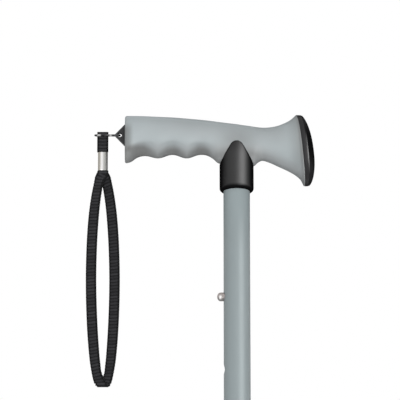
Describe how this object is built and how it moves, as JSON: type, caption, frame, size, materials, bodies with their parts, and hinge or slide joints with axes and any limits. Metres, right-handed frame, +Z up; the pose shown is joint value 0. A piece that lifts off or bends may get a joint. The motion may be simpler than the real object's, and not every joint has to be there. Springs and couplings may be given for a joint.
{
  "type": "folding cane",
  "caption": "Folding walking cane with a gel palm handle, wrist strap, push-button height slide, cord-held folding shaft and rubber tip.",
  "frame": {"origin": "centre of the tip's floor face, on the shaft axis", "axes": "+Z up along the shaft, +X towards the flared heel of the handle, -Y towards the viewer of the picture"},
  "size_m": [0.1645, 0.0412, 0.839],
  "materials": {
    "grip": "soft-touch gel, satin, cool grey",
    "black_moulding": "satin black moulding",
    "cap": "gloss black dome with a charcoal rim",
    "shaft": "satin grey coating on aluminium tube",
    "inner_tube": "drawn, clear anodised",
    "steel": "plated steel",
    "bright_metal": "nickel plate",
    "elastic": "braided elastic cord",
    "webbing": "ribbed woven webbing",
    "tip": "matt black rubber"
  },
  "bodies": {
    "upper": {"grip_gel": "grip", "handle_core": "black_moulding", "end_cap": "cap", "strap_tab": "black_moulding", "upper_tube": "shaft", "end_collar": "black_moulding"},
    "adjust": {"adjust_tube": "inner_tube", "snap_spring": "steel", "cord_anchor_top": "black_moulding", "joint_plug_1": "black_moulding"},
    "button": {"snap_button": "steel"},
    "cord_1": {"cord_run_1": "elastic"},
    "section_2": {"joint_socket_1": "black_moulding", "section_tube_2": "shaft", "joint_plug_2": "black_moulding"},
    "cord_2": {"cord_run_2": "elastic"},
    "section_3": {"joint_socket_2": "black_moulding", "section_tube_3": "shaft", "joint_plug_3": "black_moulding"},
    "cord_3": {"cord_run_3": "elastic"},
    "section_4": {"joint_socket_3": "black_moulding", "section_tube_4": "shaft", "cord_anchor_bottom": "black_moulding", "cord_run_4": "elastic", "tip_washer": "steel", "rubber_tip": "tip"},
    "link": {"wire_link": "bright_metal"},
    "strap": {"strap_top_loop": "webbing", "strap_crimp": "bright_metal", "wrist_loop": "webbing"}
  },
  "joints": [
    {"name": "height_adjust", "type": "slide", "parent": "upper", "child": "adjust", "axis": [0, 0, -1], "range_m": [0, 0.106], "deforming": ["snap_spring", "snap_button"]},
    {"name": "button_press", "type": "slide", "parent": "adjust", "child": "button", "axis": [1, 0, 0], "range_m": [0, 0.0061], "stiffness_N_per_m": 1500, "springref_m": -0.003, "deforming": ["snap_spring"]},
    {"name": "pull_1", "type": "slide", "parent": "adjust", "child": "cord_1", "axis": [0, 0, -1], "range_m": [0, 0.0421], "stiffness_N_per_m": 300, "springref_m": -0.08, "deforming": ["cord_run_1"]},
    {"name": "fold_1", "type": "hinge", "parent": "cord_1", "child": "section_2", "pos_m": [0.0113, 0, 0.5471], "axis": [0, -1, 0], "range_deg": [0, 180]},
    {"name": "pull_2", "type": "slide", "parent": "section_2", "child": "cord_2", "axis": [0, 0, -1], "range_m": [0, 0.0421], "stiffness_N_per_m": 300, "springref_m": -0.08, "deforming": ["cord_run_2"]},
    {"name": "fold_2", "type": "hinge", "parent": "cord_2", "child": "section_3", "pos_m": [-0.0113, 0, 0.3571], "axis": [0, 1, 0], "range_deg": [0, 180]},
    {"name": "pull_3", "type": "slide", "parent": "section_3", "child": "cord_3", "axis": [0, 0, -1], "range_m": [0, 0.0421], "stiffness_N_per_m": 300, "springref_m": -0.08, "deforming": ["cord_run_3"]},
    {"name": "fold_3", "type": "hinge", "parent": "cord_3", "child": "section_4", "pos_m": [0.0146, 0, 0.1671], "axis": [0, -1, 0], "range_deg": [0, 180], "deforming": ["cord_run_4"]},
    {"name": "link_swing", "type": "hinge", "parent": "upper", "child": "link", "pos_m": [-0.0845, 0, 0.8249], "axis": [0, 1, 0], "range_deg": [-25, 80]},
    {"name": "strap_swing", "type": "hinge", "parent": "link", "child": "strap", "pos_m": [-0.09647, 0.00505, 0.82635], "axis": [1, 0, 0], "range_deg": [-45, 80]}
  ],
  "couplings": [
    {"joint": "pull_1", "follows": "fold_1", "m_per_rad": 0.013369},
    {"joint": "pull_2", "follows": "fold_1", "m_per_rad": 0.013369},
    {"joint": "pull_3", "follows": "fold_1", "m_per_rad": 0.013369},
    {"joint": "fold_2", "follows": "fold_1", "ratio": 1},
    {"joint": "fold_3", "follows": "fold_1", "ratio": 1}
  ]
}
